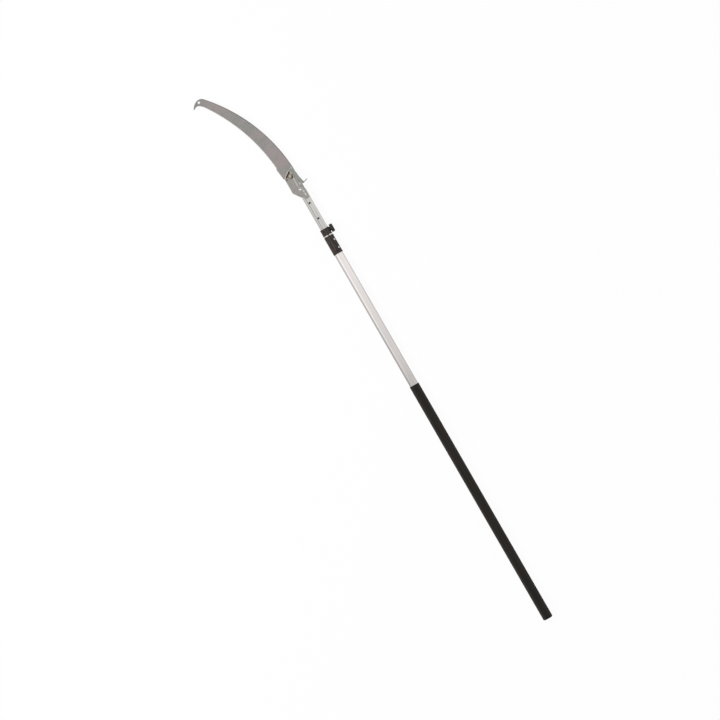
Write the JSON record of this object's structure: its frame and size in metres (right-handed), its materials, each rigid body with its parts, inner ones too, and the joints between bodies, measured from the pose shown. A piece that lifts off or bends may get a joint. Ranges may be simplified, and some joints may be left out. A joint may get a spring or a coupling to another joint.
{
  "type": "telescopic pole saw",
  "caption": "Telescopic pole saw with a long curved pull-cut blade, a bolted pressed-steel head, a latch lever, an index latch, a clamp knob and a rubber grip.",
  "frame": {"origin": "middle of the butt cap's flat end face, on the pole's axis", "axes": "+Y along the pole from the butt to the saw head, +X towards the clamp knob and the lever's thumb tab, -X towards the teeth, +Z out of the front, on which the latch, the bolt's head and the lever lie"},
  "size_m": [0.2117, 2.0588, 0.035],
  "materials": {
    "grip_rubber": "matt black rubber",
    "satin_aluminium": "pale satin anodised",
    "bare_aluminium": "drawn, bare",
    "pale_nylon": "natural nylon",
    "black_nylon": "moulded, matt black",
    "bright_steel": "bright plated",
    "insert_brass": "turned",
    "saw_steel": "rolled, satin",
    "yellow_zinc": "yellow passivated zinc",
    "dark_steel": "blackened"
  },
  "bodies": {
    "handle": {"grip_sleeve": "grip_rubber", "end_cap": "grip_rubber", "outer_pole": "satin_aluminium", "guide_bush": "black_nylon", "lock_housing": "black_nylon", "housing_screw_lower": "bright_steel", "housing_screw_upper": "bright_steel", "latch_pin": "bright_steel", "latch_spring": "bright_steel", "clamp_collar": "black_nylon", "collar_screw": "bright_steel", "screw_insert": "insert_brass"},
    "extension": {"inner_pole": "bare_aluminium", "inner_foot": "pale_nylon", "head_plug": "pale_nylon", "blade": "saw_steel", "front_cheek": "saw_steel", "rear_cheek": "saw_steel", "pole_rivet_lower": "bright_steel", "pole_rivet_upper": "bright_steel", "head_bolt": "yellow_zinc", "front_washer": "yellow_zinc", "rear_washer": "yellow_zinc", "head_nut": "yellow_zinc", "heel_rivet": "dark_steel", "heel_spacer": "dark_steel", "lever_rivet": "bright_steel"},
    "latch": {"latch_button": "black_nylon", "latch_nose": "bright_steel"},
    "shoe": {"clamp_shoe": "pale_nylon"},
    "knob": {"clamp_knob": "black_nylon", "clamp_screw": "bright_steel"},
    "lever": {"latch_lever": "saw_steel", "latch_peg": "saw_steel", "lever_spring": "bright_steel"}
  },
  "joints": [
    {"name": "pole_extension", "type": "slide", "parent": "handle", "child": "extension", "axis": [0, 1, 0], "range_m": [0, 1.102]},
    {"name": "latch_press", "type": "hinge", "parent": "handle", "child": "latch", "pos_m": [0, 1.4175, 0.0155], "axis": [-1, 0, 0], "range_deg": [0, 8], "stiffness_Nm_per_rad": 0.1, "springref_deg": -17.19, "deforming": ["latch_spring"]},
    {"name": "clamp_travel", "type": "slide", "parent": "handle", "child": "shoe", "axis": [1, 0, 0], "range_m": [0, 0.001]},
    {"name": "knob_turn", "type": "hinge", "parent": "shoe", "child": "knob", "pos_m": [0.024, 1.4736, 0], "axis": [1, 0, 0], "range_deg": [0, 360]},
    {"name": "lever_swing", "type": "hinge", "parent": "extension", "child": "lever", "pos_m": [0.0018, 1.7075, 0.006], "axis": [0, 0, 1], "range_deg": [0, 10], "stiffness_Nm_per_rad": 0.3, "springref_deg": -20.05, "deforming": ["lever_spring"]}
  ],
  "couplings": [
    {"joint": "clamp_travel", "follows": "knob_turn", "m_per_rad": 0.00015915}
  ]
}
